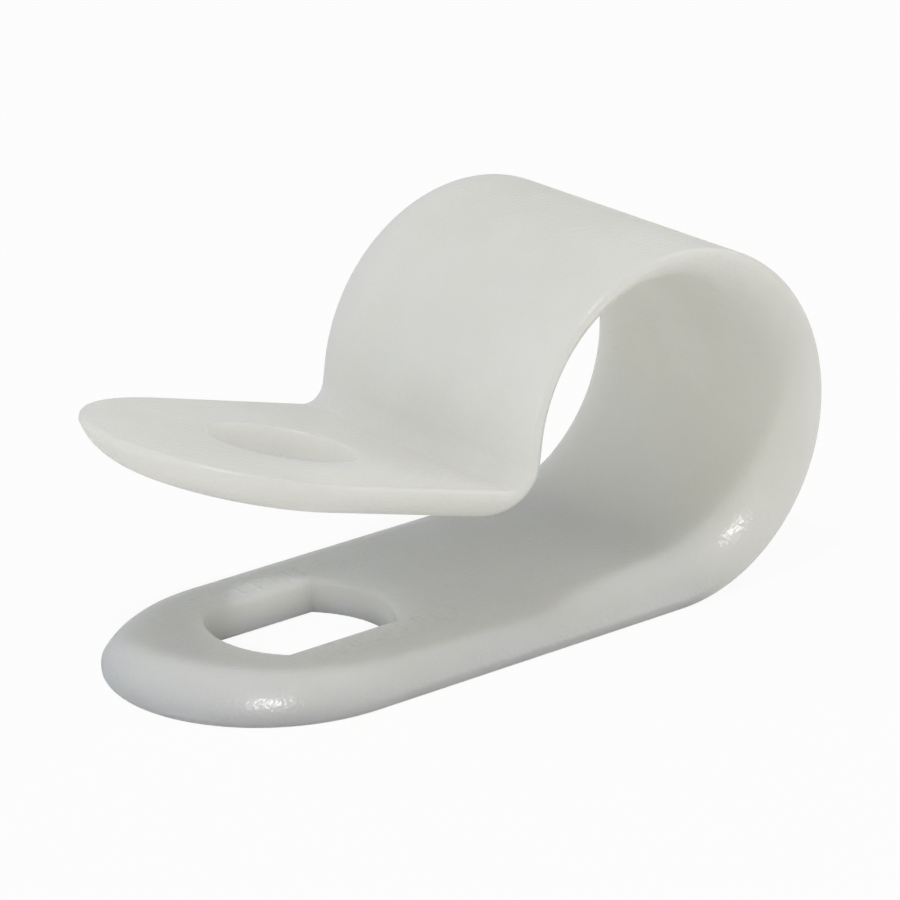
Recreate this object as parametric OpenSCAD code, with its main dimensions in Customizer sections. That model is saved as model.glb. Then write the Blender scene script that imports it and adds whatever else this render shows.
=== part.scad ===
// P clip: a cable clamp moulded in one piece from natural nylon.
// One strap of constant section makes the whole part. A flat leg with a fixing slot
// leads into a round loop for the cable. The loop ends in a short straight neck and a
// tight reverse bend, and the strap leaves that bend as a tab with a round screw hole.
// The loop springs open as moulded: the screw that joins tab and leg draws it shut.
//
// The origin is the centre of the fixing slot, on the leg's flat outer face, which is
// the face that rests on the panel. +X runs along the leg towards the loop, +Y across
// the strap, +Z away from the panel.

/* [Strap] */
// Width of the strap, measured on its flat outer face
strap_w = 12.7; // [11:0.1:16]
// Thickness of the strap
strap_t = 1.4; // [1.4:0.05:1.8]
// Radius of the broad round along both edges of the inner face, kind to the cable
crown_r = 2.5; // [2.5:0.1:3.5]
// How far that round reaches in from the edge of the strap
crown_inset = 2.1; // [1.5:0.05:2.1]
// Radius of the small round along both edges of the outer face
rim_r = 0.15; // [0.05:0.05:0.2]

/* [Leg] */
// Length of the leg, from its round tip to where the loop starts to rise
leg_l = 20.4; // [18:0.1:40]
// Distance from the tip of the leg to the centre of the fixing slot
slot_from_tip = 7.5; // [7:0.1:9]
// Length of the fixing slot, along the leg
slot_l = 6.7; // [6:0.1:8]
// Width of the fixing slot
slot_w = 5.2; // [4:0.1:5.6]
// Radius of the shallow arcs that close the slot's two ends
slot_end_r = 4; // [3.5:0.1:8]

/* [Loop] */
// Inner radius of the loop, which is half the width open to the cable
loop_r = 5.55; // [4:0.05:12]
// Angle that the strap turns through in the loop
loop_turn = 260.4; // [245:0.1:265]
// Length of the straight neck between the loop and the reverse bend
neck_l = 0.75; // [0.5:0.05:1.5]

/* [Tab] */
// Inside radius of the reverse bend, on the strap's outer face
bend_r = 0.8; // [0.4:0.05:1.2]
// Angle of the reverse bend
bend_turn = 96.2; // [90:0.1:105]
// Length of the tab, from the reverse bend to its round tip
tab_l = 13.1; // [12.5:0.1:20]
// Distance from the tip of the tab to the centre of its hole
hole_from_tip = 7.5; // [7:0.1:8.5]
// Diameter of the screw hole in the tab
hole_d = 5.5; // [4:0.1:6]

/* [Hidden] */
$fn = 96;

nylon = [0.76, 0.77, 0.74];

// Half width of the inner face that is left flat between the two broad rounds
flat_half = strap_w / 2 - crown_inset;
// Height of the loop's axis above the strap's outer face
axis_h = strap_t + loop_r;
// How far cutting tools reach past a face
past = 1;

// ---- section of the strap -------------------------------------------------------

// One half of the section: x from the strap's centreline to its edge, y from the
// outer face up to the inner face. The broad round starts level on the inner face and
// runs out at a slant, short of a quarter turn, just above the small round.
module half_section() {
    difference() {
        union() {
            square([flat_half, strap_t]);
            intersection() {
                translate([flat_half, strap_t - crown_r]) circle(r = crown_r);
                translate([flat_half, 0]) square([crown_inset, strap_t]);
            }
        }
        translate([strap_w / 2 - rim_r, 0]) rim_corner();
    }
}

// What the small round takes off the section's outer corner
module rim_corner() {
    difference() {
        square([rim_r + past, rim_r]);
        translate([0, rim_r]) circle(r = rim_r);
    }
}

// The whole section, symmetrical about the strap's centreline
module strap_section() {
    half_section();
    mirror([1, 0]) half_section();
}

// ---- stretches of the strap -----------------------------------------------------
// Each stretch starts at the origin and heads along +X with its outer face on z = 0.

// A straight stretch
module straight(length) {
    rotate([90, 0, 90]) linear_extrude(height = length) strap_section();
}

// The round end of the strap: half of the section turned about the end's own centre
module round_end() {
    rotate([0, 0, -90]) rotate_extrude(angle = 180) half_section();
}

// The loop: a stretch that curls up and over, its inner face towards the axis
module loop() {
    translate([0, 0, axis_h])
        rotate([90, 90, 0])
            rotate_extrude(angle = loop_turn)
                translate([axis_h, 0]) rotate(90) strap_section();
}

// The reverse bend: a stretch that dips down, its outer face towards the axis
module reverse_bend() {
    translate([0, 0, -bend_r])
        rotate([90, bend_turn - 90, 0])
            rotate_extrude(angle = bend_turn)
                translate([bend_r, 0]) rotate(-90) strap_section();
}

// Each of these moves its children on to the end of a stretch
module past_loop() {
    translate([0, 0, axis_h])
        rotate([0, -loop_turn, 0])
            translate([0, 0, -axis_h]) children();
}

module past_neck() {
    translate([neck_l, 0, 0]) children();
}

module past_bend() {
    translate([0, 0, -bend_r]) rotate([0, bend_turn, 0]) translate([0, 0, bend_r]) children();
}

// ---- leg, tab and whole strap ---------------------------------------------------

// The fixing slot: parallel sides, closed at each end by an arc flatter than a
// semicircle, so that the ends meet the sides in corners.
module slot_profile() {
    for (end = [0, 1]) mirror([end, 0]) intersection() {
        translate([0, -slot_w / 2]) square([slot_l / 2, slot_w]);
        translate([slot_l / 2 - slot_end_r, 0]) circle(r = slot_end_r);
    }
}

// The flat leg, from its round tip to the foot of the loop
module leg() {
    difference() {
        translate([strap_w / 2 - leg_l, 0, 0]) {
            straight(leg_l - strap_w / 2);
            mirror([1, 0, 0]) round_end();
        }
        translate([slot_from_tip - leg_l, 0, -past])
            linear_extrude(height = strap_t + 2 * past) slot_profile();
    }
}

// The tab, with its screw hole square through the strap
module tab() {
    difference() {
        union() {
            straight(tab_l - strap_w / 2);
            translate([tab_l - strap_w / 2, 0, 0]) round_end();
        }
        translate([tab_l - hole_from_tip, 0, -past])
            cylinder(d = hole_d, h = strap_t + 2 * past);
    }
}

// The whole strap, laid stretch by stretch from the foot of the loop
module clip_strap() {
    color(nylon) translate([leg_l - slot_from_tip, 0, 0]) {
        leg();
        loop();
        past_loop() {
            straight(neck_l);
            past_neck() {
                reverse_bend();
                past_bend() tab();
            }
        }
    }
}

clip_strap();
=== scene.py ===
# %% [markdown]
# # P clip in natural nylon
# A P clip holds one cable or hose against a panel. It is a single strap of moulded nylon: a flat leg
# with a fixing slot, a round loop for the cable, and a tab with a screw hole that springs up until the
# screw draws it down to the leg.
#
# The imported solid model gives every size. This script remakes the strap as one smooth skin, so that
# each edge can have the small round that a mould leaves, and then gives it the translucent, slightly
# yellow white of undyed nylon.

import math

import bmesh
import bpy
import numpy as np
from mathutils import Matrix


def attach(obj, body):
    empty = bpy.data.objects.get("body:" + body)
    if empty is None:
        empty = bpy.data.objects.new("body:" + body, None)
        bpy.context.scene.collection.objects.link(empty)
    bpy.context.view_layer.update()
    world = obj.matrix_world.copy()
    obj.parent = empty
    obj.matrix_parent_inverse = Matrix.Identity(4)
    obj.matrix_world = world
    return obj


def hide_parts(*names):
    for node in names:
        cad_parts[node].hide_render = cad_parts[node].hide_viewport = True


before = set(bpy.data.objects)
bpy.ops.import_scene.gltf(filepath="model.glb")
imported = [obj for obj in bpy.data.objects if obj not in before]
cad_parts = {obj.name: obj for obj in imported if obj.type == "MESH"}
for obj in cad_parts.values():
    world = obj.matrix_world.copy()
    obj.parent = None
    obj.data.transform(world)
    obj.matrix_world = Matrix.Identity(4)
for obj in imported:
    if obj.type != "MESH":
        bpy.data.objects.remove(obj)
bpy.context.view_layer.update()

# %% [markdown]
# ## Sizes
# The sizes repeat those of the solid model, in millimetres. The strap is measured on its outer face,
# the flat one that rests on the panel: `s` runs along that face from the tip of the leg to the tip of
# the tab, `y` runs across the strap, and `n` rises from the outer face to the inner one.

# %% Sizes of the strap, in millimetres
MM = 0.001

STRAP_W = 12.7
HALF_W = STRAP_W / 2
STRAP_T = 1.4
CROWN_R = 2.5
CROWN_INSET = 2.1
RIM_R = 0.15

LEG_L = 20.4
SLOT_FROM_TIP = 7.5
SLOT_L = 6.7
SLOT_W = 5.2
SLOT_END_R = 4.0

LOOP_R = 5.55
LOOP_TURN = math.radians(260.4)
NECK_L = 0.75
BEND_R = 0.8
BEND_TURN = math.radians(96.2)
TAB_L = 13.1
HOLE_FROM_TIP = 7.5
HOLE_D = 5.5

# Each stretch of the strap: its length on the outer face, and how far it turns towards the inner face
STRETCHES = {
    "leg": (LEG_L, 0.0),
    "loop": ((LOOP_R + STRAP_T) * LOOP_TURN, LOOP_TURN),
    "neck": (NECK_L, 0.0),
    "reverse bend": (BEND_R * BEND_TURN, -BEND_TURN),
    "tab": (TAB_L, 0.0),
}
STRAP_L = sum(length for length, turn in STRETCHES.values())
TAB_START = STRAP_L - TAB_L
print(f"strap {STRAP_L:.2f} mm long on its outer face, {STRAP_W} wide and {STRAP_T} thick")

# %% [markdown]
# ## Folding a flat strap
# The whole surface is first laid out flat, where round ends, slots and edges are easy, and is then
# folded. Sweeping a section along a curve would also make the loop, but not the slot, the hole and the
# round ends in the same skin. Folding keeps every edge round at its true size, because the path is
# made only of straight lines and arcs.

# %% Fold the flat strap
SAME_PLACE = 1e-9


def along_stretch(u, x0, z0, a0, k):
    """Place (x, z) and heading, a length u into a stretch that starts at (x0, z0) with heading a0.

    With a turn of k per length the heading is a = a0 + k u and the path is an arc,
    x = x0 + (sin a - sin a0) / k and z = z0 - (cos a - cos a0) / k. Where k is 0 it is straight.
    """
    a = a0 + k * u
    if k == 0.0:
        return x0 + u * math.cos(a0), z0 + u * math.sin(a0), a
    return x0 + (np.sin(a) - math.sin(a0)) / k, z0 - (np.cos(a) - math.cos(a0)) / k, a


def fold(s, y, n):
    """Place of the flat-strap points (s, y, n) on the bent strap, in millimetres.

    A point stands off its place on the path by n along (-sin a, cos a), a being the heading there.
    """
    s, y, n = np.broadcast_arrays(np.asarray(s, float), y, n)
    path_x = np.zeros_like(s)
    path_z = np.zeros_like(s)
    heading = np.zeros_like(s)
    start, x0, z0, a0 = 0.0, -SLOT_FROM_TIP, 0.0, 0.0
    for length, turn in STRETCHES.values():
        k = turn / length
        here = s >= start - SAME_PLACE
        x, z, a = along_stretch(s - start, x0, z0, a0, k)
        path_x = np.where(here, x, path_x)
        path_z = np.where(here, z, path_z)
        heading = np.where(here, a, heading)
        end = along_stretch(np.float64(length), x0, z0, a0, k)
        start, x0, z0, a0 = start + length, float(end[0]), float(end[1]), float(end[2])
    return np.stack([path_x - n * np.sin(heading), y, path_z + n * np.cos(heading)], axis=-1)


tab_tip = fold(STRAP_L, 0.0, 0.0)
print("tip of the tab, outer face, mm:", tab_tip.round(3).tolist())

# %% [markdown]
# ## Patches
# A patch is a grid of points, and each four neighbouring points make a four-sided face. The strap
# needs only a few: a band carried round its outline, a wall for each opening, flat rings round the
# openings and a plain grid for each face of the part in between. They share their border points, so
# they weld into one closed skin.

# %% Grid patches
patches = []


def add_patch(points, closed=False, flip=False):
    """Keeps a (rows, columns, 3) grid in millimetres, with one quad between each four neighbours.

    closed joins the last row to the first. A face looks along rows x columns, or the other way
    with flip.
    """
    rows, columns = points.shape[:2]
    index = np.arange(rows * columns).reshape(rows, columns)
    ahead = np.roll(index, -1, axis=0)
    if not closed:
        index, ahead = index[:-1], ahead[:-1]
    quads = np.stack([index[:, :-1], ahead[:, :-1], ahead[:, 1:], index[:, 1:]], axis=-1)
    if flip:
        quads = quads[..., ::-1]
    patches.append((points.reshape(-1, 3) * MM, quads.reshape(-1, 4)))


# %% [markdown]
# ## The edge, carried round the outline
# In section the strap is flat outside and crowned inside: each edge of the inner face has a broad
# round that is kind to the cable's jacket, a short upright land and a small round at the outer face.
# That profile is carried round the whole outline, both straight sides and both round ends. An end of
# the strap is half a circle as wide as the strap, so a line set in by `d` from it is half a circle too.

# %% Stations along the strap
LEG_PATCH_END = 12.4
TAB_PATCH_START = TAB_START + 1.3
LOOP_START = LEG_L
LOOP_END = LOOP_START + STRETCHES["loop"][0]
NECK_END = LOOP_END + NECK_L

# One station every 0.05 mm beside the slot, every 1.5 degrees of the loop, and few where it is straight
side_leg = np.linspace(HALF_W, LEG_PATCH_END, 125)
side_middle = np.concatenate([
    np.linspace(LEG_PATCH_END, LOOP_START, 9),
    np.linspace(LOOP_START, LOOP_END, 175)[1:],
    np.linspace(LOOP_END, NECK_END, 4)[1:],
    np.linspace(NECK_END, TAB_START, 41)[1:],
    np.linspace(TAB_START, TAB_PATCH_START, 5)[1:],
])
side_tab = np.linspace(TAB_PATCH_START, STRAP_L - HALF_W, 30)
END_STEPS = 72
end_turn = np.linspace(0, np.pi, END_STEPS + 1)[1:-1]
print(f"stations: leg {side_leg.size}, middle {side_middle.size}, tab {side_tab.size}")

# %% The strap's flat outline


def side_lines(stations, inset):
    """The two straight sides at those stations, set in: y = -(w/2 - d) and y = w/2 - d."""
    return (
        np.stack([stations, np.full_like(stations, inset - HALF_W)], axis=-1),
        np.stack([stations, np.full_like(stations, HALF_W - inset)], axis=-1),
    )


def end_line(centre, inset, start_angle):
    """Half a circle of radius w/2 - d about that centre, turning left from the start angle."""
    radius = HALF_W - inset
    angle = start_angle + end_turn
    return np.stack([centre + radius * np.cos(angle), radius * np.sin(angle)], axis=-1)


def outline(inset):
    """The strap's flat outline, set in by d and turning left, with no point twice."""
    stations = np.concatenate([side_leg, side_middle[1:], side_tab[1:]])
    near, far = side_lines(stations, inset)
    return np.concatenate([
        near,
        end_line(STRAP_L - HALF_W, inset, -np.pi / 2),
        far[::-1],
        end_line(HALF_W, inset, np.pi / 2),
    ])


print(f"outline of {len(outline(0.0))} points")

# %% Profile of the edge
# A support line this far past a round keeps the shading of the flat face beyond it flat
SUPPORT = 0.05
RIM_STEPS = 5
CROWN_STEPS = 16

# Rim: inset r - r sin t, height r - r cos t. Crown: the same arc of its own radius, from the slant
# where it meets the land up to level.
rim = np.linspace(0, np.pi / 2, RIM_STEPS + 1)
crown_end = math.asin(CROWN_INSET / CROWN_R)
crown = np.linspace(crown_end, 0, CROWN_STEPS + 1)
edge_inset = np.concatenate([
    [RIM_R + SUPPORT],
    RIM_R - RIM_R * np.sin(rim),
    CROWN_INSET - CROWN_R * np.sin(crown),
    [CROWN_INSET + SUPPORT],
])
edge_height = np.concatenate([
    [0.0],
    RIM_R - RIM_R * np.cos(rim),
    STRAP_T - CROWN_R + CROWN_R * np.cos(crown),
    [STRAP_T],
])

edge_lines = np.stack([outline(inset) for inset in edge_inset], axis=1)
add_patch(fold(edge_lines[..., 0], edge_lines[..., 1], edge_height[None, :]), closed=True)
OUTER_INSET = edge_inset[0]
INNER_INSET = edge_inset[-1]
print(f"edge band: {edge_lines.shape[0]} stations of {edge_lines.shape[1]} points")

# %% [markdown]
# ## The two openings
# The slot in the leg is closed by shallow arcs, so it has four corners, and the hole in the tab is
# round. Both are outlines that can grow: the wall keeps the true outline, and the small rounds where
# it meets the faces follow slightly larger ones.

# %% Outlines of the slot and the hole
SLOT_S = SLOT_FROM_TIP
HOLE_S = STRAP_L - HOLE_FROM_TIP


def slot_corner(grow=0.0):
    """Where a side of the slot meets its end arc: x = l/2 - r + sqrt(r^2 - (w/2)^2), y = w/2."""
    radius = SLOT_END_R + grow
    half_width = SLOT_W / 2 + grow
    return SLOT_L / 2 + grow - radius + math.sqrt(radius**2 - half_width**2), half_width


def slot_outline(place, grow=0.0):
    """The slot's outline, larger by grow all round. place goes from 0 to 4 as the line turns left:
    0 to 1 is the end arc towards the loop, 1 to 2 the far side, 2 to 3 the other arc, 3 to 4 the
    near side.
    """
    radius = SLOT_END_R + grow
    x_corner, half_width = slot_corner(grow)
    sweep = math.asin(half_width / radius)
    part = np.floor(place).astype(int) % 4
    share = place - np.floor(place)
    angle = (2 * share - 1) * sweep
    arc_x = SLOT_L / 2 + grow - radius + radius * np.cos(angle)
    arc_y = radius * np.sin(angle)
    side_x = x_corner * (1 - 2 * share)
    side_y = np.full_like(share, half_width)
    x = np.choose(part, [arc_x, side_x, -arc_x, -side_x])
    y = np.choose(part, [arc_y, side_y, -arc_y, -side_y])
    return np.stack([SLOT_S + x, y], axis=-1)


def hole_outline(angle, grow=0.0):
    """A circle of the hole's radius plus grow, about the hole's centre."""
    radius = HOLE_D / 2 + grow
    return np.stack([HOLE_S + radius * np.cos(angle), radius * np.sin(angle)], axis=-1)


corner_x, corner_y = slot_corner()
print(f"slot corners at x {corner_x:.2f}, y {corner_y:.2f} mm from its centre")

# %% Borders of the flat patches round the openings
ACROSS = 17


def line_across(s, start_y, end_y):
    """Points inside a straight line across the strap, as many as the plain grids have."""
    y = np.linspace(start_y, end_y, ACROSS)[1:-1]
    return np.stack([np.full_like(y, s), y], axis=-1)


def leg_border(inset):
    """Turning left round the leg's flat patch: its round end, near side, a line across, far side."""
    near, far = side_lines(side_leg, inset)
    cross = line_across(LEG_PATCH_END, near[-1, 1], far[-1, 1])
    return np.concatenate([end_line(HALF_W, inset, np.pi / 2), near, cross, far[::-1]])


def tab_border(inset):
    """Turning left round the tab's flat patch: near side, round end, far side, a line across."""
    near, far = side_lines(side_tab, inset)
    cross = line_across(TAB_PATCH_START, far[0, 1], near[0, 1])
    return np.concatenate([near, end_line(STRAP_L - HALF_W, inset, -np.pi / 2), far[::-1], cross])


def turn_about(border, centre):
    """Angle of each border point about a centre on the strap's middle line, rising all the way."""
    angle = np.arctan2(border[:, 1], border[:, 0] - centre)
    return np.unwrap(angle)


# %% Which point of an opening each border point faces
# A corner of the slot takes the nearest border point, if that is within this share of a side
CORNER_REACH = 0.1

hole_angle = turn_about(tab_border(INNER_INSET), HOLE_S)
slot_angle = turn_about(leg_border(INNER_INSET), SLOT_S)

corner_turn = math.atan2(corner_y, corner_x)
corner_angles = np.array([-corner_turn, corner_turn, np.pi - corner_turn, np.pi + corner_turn])
knots = np.concatenate([corner_angles + turn * 2 * np.pi for turn in (-1, 0, 1)])
slot_place = np.interp(slot_angle, knots, np.arange(knots.size, dtype=float))
for corner in range(knots.size):
    nearest = np.argmin(np.abs(slot_place - corner))
    if abs(slot_place[nearest] - corner) < CORNER_REACH:
        slot_place[nearest] = corner
print(f"points round the slot {slot_place.size}, round the hole {hole_angle.size}")

# %% [markdown]
# ## Marks beside the slot
# Straps like this carry a few low raised marks beside the slot. Here they are plain bars, with no
# letter or number: each is a soft ridge a few hundredths of a millimetre high, a bump function added
# to the height of the inner face.

# %% Height of the plain raised bars
BAR_LENGTH = 0.95
BAR_WIDTH = 0.2
BAR_HEIGHT = 0.05
BAR_PITCH = 0.75
# How much steeper than its width a bar's flank rises, which leaves it a narrow flat top
BAR_FLANK = 1.2
BAR_END_SOFTNESS = 0.15
# Each row: the first bar's place along the strap from the slot's centre, the row's y, how many bars
BAR_ROWS = ((-1.9, 3.45, 7), (-1.6, -3.45, 9))


def soft_step(value):
    """0 below 0, 1 above 1, and the smooth curve 3 v^2 - 2 v^3 between."""
    value = np.clip(value, 0, 1)
    return value * value * (3 - 2 * value)


def bars(s, y):
    """Height of the raised bars: a soft step up to the nearest bar of a row, along and across it."""
    height = np.zeros(np.broadcast(s, y).shape)
    for first_x, row_y, count in BAR_ROWS:
        x = s - SLOT_S - first_x
        nearest = np.clip(np.round(x / BAR_PITCH), 0, count - 1)
        along = np.abs(x - nearest * BAR_PITCH)
        across = np.abs(y - row_y)
        body = soft_step((BAR_WIDTH - along) / BAR_WIDTH * BAR_FLANK)
        ends = soft_step((BAR_LENGTH / 2 - across) / BAR_END_SOFTNESS + 0.5)
        height = height + BAR_HEIGHT * body * ends
    return height


print(f"{sum(row[2] for row in BAR_ROWS)} bars, {BAR_HEIGHT} mm high")

# %% [markdown]
# ## Flat rings and walls
# A ring patch runs straight from the strap's set-in outline to the opening's. Its lines start close
# together at both borders, so that the shading of the flat face stays flat up to the rounds. The
# slot's edges have a softer round than the hole's.

# %% Rings round the openings and the walls through the strap
HOLE_ROUND = 0.1
SLOT_ROUND = 0.24
ROUND_STEPS = 5
# A ring's first and last lines lie this share of its width from its borders
BORDER_SHARE = 0.03
# Lines of a ring: many where the raised bars need them, few on a plain flat face
BAR_LINES = 34
PLAIN_LINES = 8


def blend_steps(count):
    """Shares of the way from border to opening: a short step at each end, even steps between."""
    return np.concatenate([[0.0], np.linspace(BORDER_SHARE, 1 - BORDER_SHARE, count), [1.0]])


def ring_patch(border, opening, count, height, flip, relief=None):
    """A flat ring: each point is border + share (opening - border), at one height on the strap."""
    share = blend_steps(count)[None, :, None]
    flat = border[:, None, :] + share * (opening - border)[:, None, :]
    s, y = flat[..., 0], flat[..., 1]
    rise = relief(s, y) if relief is not None else 0.0
    add_patch(fold(s, y, height + rise), closed=True, flip=flip)


def wall_profile(radius):
    """Growth and height down a wall, from the inner face to the outer one: a quarter round, the
    straight wall and a quarter round, with a support line beyond each end."""
    turn = np.linspace(0, np.pi / 2, ROUND_STEPS + 1)
    grow_top = radius - radius * np.sin(turn)
    height_top = STRAP_T - radius + radius * np.cos(turn)
    grow = np.concatenate([[radius + SUPPORT], grow_top, grow_top[::-1], [radius + SUPPORT]])
    height = np.concatenate([[STRAP_T], height_top, STRAP_T - height_top[::-1], [0.0]])
    return grow, height


def wall_patch(line, radius):
    """The wall of an opening: its outline at each growth of the wall profile, folded in place."""
    grow, height = wall_profile(radius)
    flat = np.stack([line(step) for step in grow], axis=1)
    add_patch(fold(flat[..., 0], flat[..., 1], height[None, :]), closed=True)


def slot_line(grow):
    """The slot's outline at the points that face the leg's border."""
    return slot_outline(slot_place, grow)


def hole_line(grow):
    """The hole's outline at the points that face the tab's border."""
    return hole_outline(hole_angle, grow)


wall_patch(slot_line, SLOT_ROUND)
wall_patch(hole_line, HOLE_ROUND)
slot_rim = slot_line(SLOT_ROUND + SUPPORT)
hole_rim = hole_line(HOLE_ROUND + SUPPORT)
ring_patch(leg_border(INNER_INSET), slot_rim, BAR_LINES, STRAP_T, flip=False, relief=bars)
ring_patch(leg_border(OUTER_INSET), slot_rim, PLAIN_LINES, 0.0, flip=True)
ring_patch(tab_border(INNER_INSET), hole_rim, PLAIN_LINES, STRAP_T, flip=False)
ring_patch(tab_border(OUTER_INSET), hole_rim, PLAIN_LINES, 0.0, flip=True)
print(f"slot edges rounded by {SLOT_ROUND} mm, hole edges by {HOLE_ROUND} mm")

# %% [markdown]
# ## Between the openings
# From the leg's flat patch round the loop to the tab's, each face is a plain grid of stations by
# points across. The inner face is narrower than the outer one by its two broad rounds.

# %% Both faces between the openings
for inset, height, outer in ((INNER_INSET, STRAP_T, False), (OUTER_INSET, 0.0, True)):
    across = np.linspace(inset - HALF_W, HALF_W - inset, ACROSS)
    s, y = np.meshgrid(side_middle, across, indexing="ij")
    add_patch(fold(s, y, height), flip=outer)
print(f"{len(patches)} patches, {sum(len(quads) for points, quads in patches)} quads")

# %% [markdown]
# ## One skin
# The patches go into one mesh, and points that lie on each other are merged, which closes every seam.
# A closed skin matters here, because light will travel through the nylon.

# %% Weld the strap
# Points nearer than this, in metres, become one; it is far below the finest spacing of the patches
WELD = 1e-6


def weld_patches(name):
    """Joins the kept patches into one mesh, merges the points that lie together, and smooths it."""
    points = np.concatenate([p for p, q in patches])
    starts = np.cumsum([0] + [len(p) for p, q in patches[:-1]])
    quads = np.concatenate([q + start for (p, q), start in zip(patches, starts)])
    mesh = bpy.data.meshes.new(name)
    mesh.from_pydata(points.tolist(), [], quads.tolist())
    skin = bmesh.new()
    skin.from_mesh(mesh)
    bmesh.ops.remove_doubles(skin, verts=skin.verts, dist=WELD)
    open_edges = sum(1 for edge in skin.edges if len(edge.link_faces) != 2)
    volume = skin.calc_volume(signed=True)
    skin.to_mesh(mesh)
    skin.free()
    mesh.polygons.foreach_set("use_smooth", np.ones(len(mesh.polygons), bool))
    print(f"{name}: {len(mesh.polygons)} faces, {open_edges} open edges, {volume / MM**3:.1f} mm3")
    return mesh


strap = bpy.data.objects.new("nylon_strap", weld_patches("nylon_strap"))
bpy.context.scene.collection.objects.link(strap)
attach(strap, "root")
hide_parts("clip_strap")

# %% [markdown]
# ## Natural nylon 6/6, injection moulded
# Undyed nylon is a milky, translucent plastic. Light goes a few millimetres into it and comes out
# softened, thin edges glow a little, and deep hollows turn slightly yellow, because light bounces
# more than once there and the plastic takes out a little blue each time. Subsurface scattering gives
# all of that, where a plain diffuse colour would look like chalk. The mould's fine spark-eroded grain
# breaks its highlights into specks.

# %% Helpers for the material


def linear_colour(code):
    """Linear red, green, blue and alpha of an sRGB hex colour, by the sRGB curve."""
    value = np.array([int(code[i:i + 2], 16) for i in (1, 3, 5)]) / 255
    linear = np.where(value <= 0.04045, value / 12.92, ((value + 0.055) / 1.055) ** 2.4)
    return (*linear.tolist(), 1.0)


def node(tree, kind, settings=None, **links):
    """Adds a node, sets its properties, and sets or links each input.

    An input is named with _ for a space, or i and its number where names repeat on a node.
    """
    made = tree.nodes.new(kind)
    for key, value in (settings or {}).items():
        setattr(made, key, value)
    for key, value in links.items():
        numbered = key[0] == "i" and key[1:].isdigit()
        socket = made.inputs[int(key[1:]) if numbered else key.replace("_", " ")]
        if isinstance(value, bpy.types.NodeSocket):
            tree.links.new(value, socket)
        else:
            socket.default_value = value
    return made


def empty_tree(owner):
    """Turns on the nodes of a material or world and clears them."""
    owner.use_nodes = True
    owner.node_tree.nodes.clear()
    return owner.node_tree


# %% Natural nylon
NYLON_BASE = "#ECEDEA"
NYLON_CLOUD = "#E6E7E2"
# Nylon 6/6 bends light about as much as glass does
NYLON_IOR = 1.53
NYLON_ROUGHNESS = 0.27
# How far red light travels inside before it turns; blue goes less far, which warms the hollows
LIGHT_DEPTH = 3.6 * MM
DEPTH_BY_COLOUR = (1.0, 0.95, 0.8)
# Faint cloudiness from the plastic's flow into the mould, some 6 mm across
CLOUD_SIZE = 6 * MM
# A mould's real grain is finer than this; it is drawn as coarse as it needs to be to show
GRAIN = 0.16 * MM
GRAIN_HEIGHT = 0.03 * MM
GRAIN_STRENGTH = 0.6

nylon = bpy.data.materials.new("natural_nylon_moulded")
tree = empty_tree(nylon)
place = node(tree, "ShaderNodeTexCoord").outputs["Object"]
cloud = node(
    tree, "ShaderNodeTexNoise", {"noise_dimensions": "3D"},
    Vector=place, Scale=1 / CLOUD_SIZE, Detail=2.0,
)
cloud_share = node(tree, "ShaderNodeMapRange", Value=cloud.outputs["Fac"], i1=0.35, i2=0.65)
colour = node(
    tree, "ShaderNodeMix", {"data_type": "RGBA"},
    i0=cloud_share.outputs["Result"],
    i6=linear_colour(NYLON_BASE),
    i7=linear_colour(NYLON_CLOUD),
)
grain = node(tree, "ShaderNodeTexNoise", Vector=place, Scale=1 / GRAIN, Detail=1.0)
bump = node(
    tree, "ShaderNodeBump",
    Height=grain.outputs["Fac"], Strength=GRAIN_STRENGTH, Distance=GRAIN_HEIGHT,
)
shader = node(
    tree, "ShaderNodeBsdfPrincipled", {"subsurface_method": "RANDOM_WALK"},
    Base_Color=colour.outputs["Result"],
    Roughness=NYLON_ROUGHNESS,
    IOR=NYLON_IOR,
    Subsurface_Weight=1.0,
    Subsurface_Radius=DEPTH_BY_COLOUR,
    Subsurface_Scale=LIGHT_DEPTH,
    Normal=bump.outputs["Normal"],
)
node(tree, "ShaderNodeOutputMaterial", Surface=shader.outputs["BSDF"])
strap.data.materials.append(nylon)
for cad_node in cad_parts.values():
    cad_node.data.materials.clear()
    cad_node.data.materials.append(nylon)
print("material:", nylon.name)

# %% [markdown]
# ## Table and room
# The clip lies on a table of white paper in a white room. Both look plain white to the camera, by
# mixing in white for its rays only, so the background adds no light to the clip. The paper keeps a
# small share of its own shading, and with it the clip's soft shadow. The room is brighter low
# down behind the clip and to the left, and a trace warmer on the dim side.

# %% White paper table
TABLE_HALF = 0.4
# The paper lies a hair under the leg, so that the two faces don't fight for one plane
TABLE_DROP = 0.00002
WHITE_SHARE = 0.93

mesh = bpy.data.meshes.new("table")
mesh.from_pydata(
    [(x * TABLE_HALF, y * TABLE_HALF, -TABLE_DROP) for x, y in ((-1, -1), (1, -1), (1, 1), (-1, 1))],
    [],
    [(0, 1, 2, 3)],
)
table = bpy.data.objects.new("table", mesh)
bpy.context.scene.collection.objects.link(table)

paper = bpy.data.materials.new("white_paper")
tree = empty_tree(paper)
matte = node(tree, "ShaderNodeBsdfDiffuse", Color=linear_colour("#F2F2F2"))
plain_white = node(tree, "ShaderNodeEmission", Color=(1, 1, 1, 1), Strength=1.0)
rays = node(tree, "ShaderNodeLightPath")
share = node(
    tree, "ShaderNodeMath", {"operation": "MULTIPLY"},
    i0=rays.outputs["Is Camera Ray"], i1=WHITE_SHARE,
)
mixed = node(
    tree, "ShaderNodeMixShader",
    i0=share.outputs[0], i1=matte.outputs[0], i2=plain_white.outputs[0],
)
node(tree, "ShaderNodeOutputMaterial", Surface=mixed.outputs[0])
table.data.materials.append(paper)
print(f"table {2 * TABLE_HALF} m square")

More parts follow.
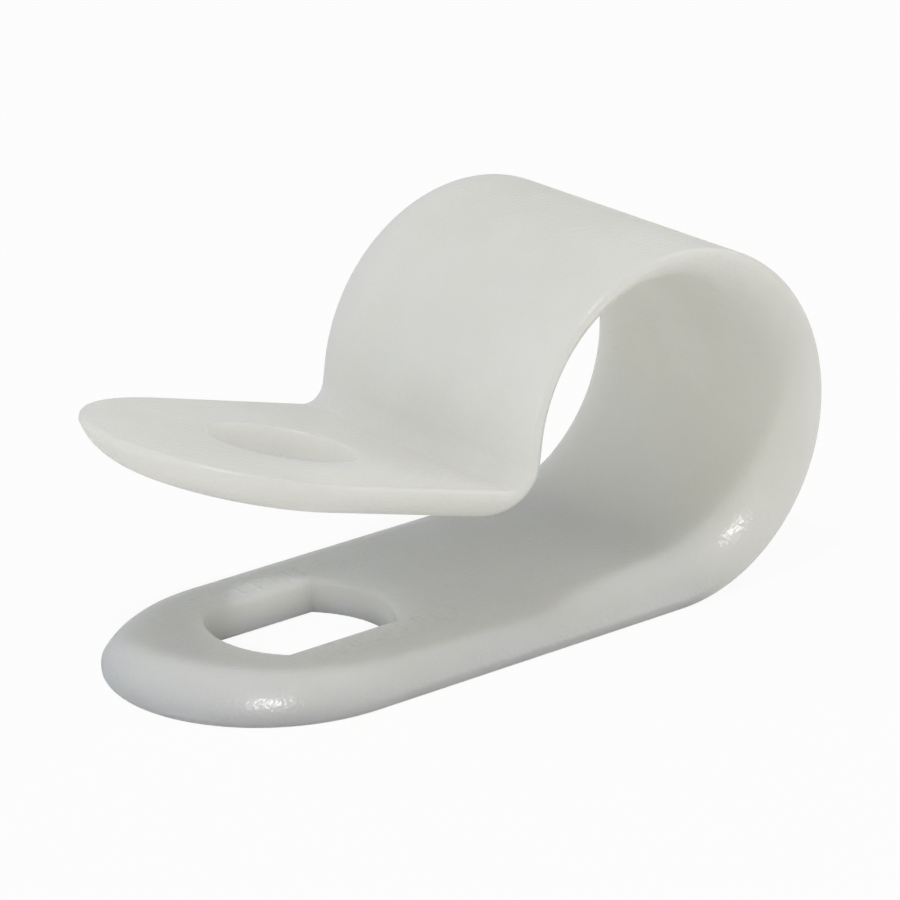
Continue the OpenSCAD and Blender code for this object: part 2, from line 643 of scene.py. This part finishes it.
# %% White room
ROOM_BRIGHT = 0.7
ROOM_DIM = 0.33
BRIGHT_SIDE = (-0.45, 0.85, -0.28)

world = bpy.data.worlds.new("white_room")
bpy.context.scene.world = world
tree = empty_tree(world)
direction = node(tree, "ShaderNodeTexCoord").outputs["Generated"]
facing = node(tree, "ShaderNodeVectorMath", {"operation": "DOT_PRODUCT"}, i0=direction, i1=BRIGHT_SIDE)
side = node(tree, "ShaderNodeMapRange", Value=facing.outputs["Value"], i1=-1.0, i2=1.0)
walls = node(
    tree, "ShaderNodeMix", {"data_type": "RGBA"},
    i0=side.outputs[0],
    i6=linear_colour("#FFF8E4"),
    i7=linear_colour("#F0F6FF"),
)
strength = node(tree, "ShaderNodeMapRange", Value=side.outputs[0], i3=ROOM_DIM, i4=ROOM_BRIGHT)
lit = node(tree, "ShaderNodeBackground", Color=walls.outputs["Result"], Strength=strength.outputs[0])
white = node(tree, "ShaderNodeBackground", Color=(1, 1, 1, 1), Strength=1.0)
rays = node(tree, "ShaderNodeLightPath")
seen = node(
    tree, "ShaderNodeMath", {"operation": "MAXIMUM"},
    i0=rays.outputs["Is Camera Ray"], i1=rays.outputs["Is Transmission Ray"],
)
room = node(
    tree, "ShaderNodeMixShader",
    i0=seen.outputs[0], i1=lit.outputs[0], i2=white.outputs[0],
)
node(tree, "ShaderNodeOutputWorld", Surface=room.outputs[0])
print(f"room: strength {ROOM_DIM} to {ROOM_BRIGHT}")

# %% [markdown]
# ## Softboxes
# Two broad, weak softboxes fill the left and the right front. A small one almost overhead does
# little for the level of light: its reflection is the speckled gleam on the broad rounds, at the tip
# of the leg and where the loop rises.

# %% Place the softboxes
SOFTBOX_DISTANCE = 0.35
AIM = np.array([0.006, 0.0, 0.006])
UP = [0, 0, 1]


def outward(azimuth, elevation):
    """Unit vector (sin a cos e, -cos a cos e, sin e); azimuth 0 is in front of the clip, at -Y."""
    a, e = math.radians(azimuth), math.radians(elevation)
    return np.array([math.sin(a) * math.cos(e), -math.cos(a) * math.cos(e), math.sin(e)])


def point_at(holder, place, target, roll=0.0):
    """Puts holder at place with its -Z axis towards target, upright apart from the roll."""
    back = (place - target) / np.linalg.norm(place - target)
    right = np.cross(UP, back)
    right /= np.linalg.norm(right)
    up = np.cross(back, right)
    matrix = np.eye(4)
    matrix[:3, 0] = right * math.cos(roll) + up * math.sin(roll)
    matrix[:3, 1] = up * math.cos(roll) - right * math.sin(roll)
    matrix[:3, 2] = back
    matrix[:3, 3] = place
    holder.matrix_world = Matrix(matrix.tolist())


def softbox(name, azimuth, elevation, size, power):
    """A square area lamp, size metres wide, that faces the clip from that side."""
    lamp = bpy.data.lights.new(name, "AREA")
    lamp.shape = "SQUARE"
    lamp.size = size
    lamp.energy = power
    holder = bpy.data.objects.new(name, lamp)
    bpy.context.scene.collection.objects.link(holder)
    point_at(holder, AIM + outward(azimuth, elevation) * SOFTBOX_DISTANCE, AIM)
    print(f"{name}: {power} W, {size} m wide")


softbox("softbox_left", azimuth=-95, elevation=14, size=0.16, power=0.07)
softbox("softbox_front", azimuth=55, elevation=28, size=0.16, power=0.23)
softbox("softbox_overhead", azimuth=-52, elevation=72, size=0.018, power=0.3)

# %% [markdown]
# ## Camera
# A long lens from 18 centimetres away looks down over the tip of the leg into the loop, so that
# slot, hole, tab and the inside of the loop all show.

# %% Place the camera
CAMERA_AZIMUTH = -36.879
CAMERA_ELEVATION = 20.313
CAMERA_ROLL = -2.018
CAMERA_DISTANCE = 177.0 * MM
CAMERA_TARGET = np.array([7.0961, 0.0, 6.0338]) * MM
SENSOR_WIDTH = 36
FOCAL_LENGTH = 191.772

camera_data = bpy.data.cameras.new("camera")
camera_data.sensor_width = SENSOR_WIDTH
camera_data.lens = FOCAL_LENGTH
camera_data.clip_start = 0.01
camera_data.clip_end = 10
camera = bpy.data.objects.new("camera", camera_data)
bpy.context.scene.collection.objects.link(camera)
camera_place = CAMERA_TARGET + outward(CAMERA_AZIMUTH, CAMERA_ELEVATION) * CAMERA_DISTANCE
point_at(camera, camera_place, CAMERA_TARGET, math.radians(CAMERA_ROLL))
bpy.context.scene.camera = camera
bpy.context.scene.view_settings.view_transform = "Standard"
print("camera at", camera_place.round(4).tolist())
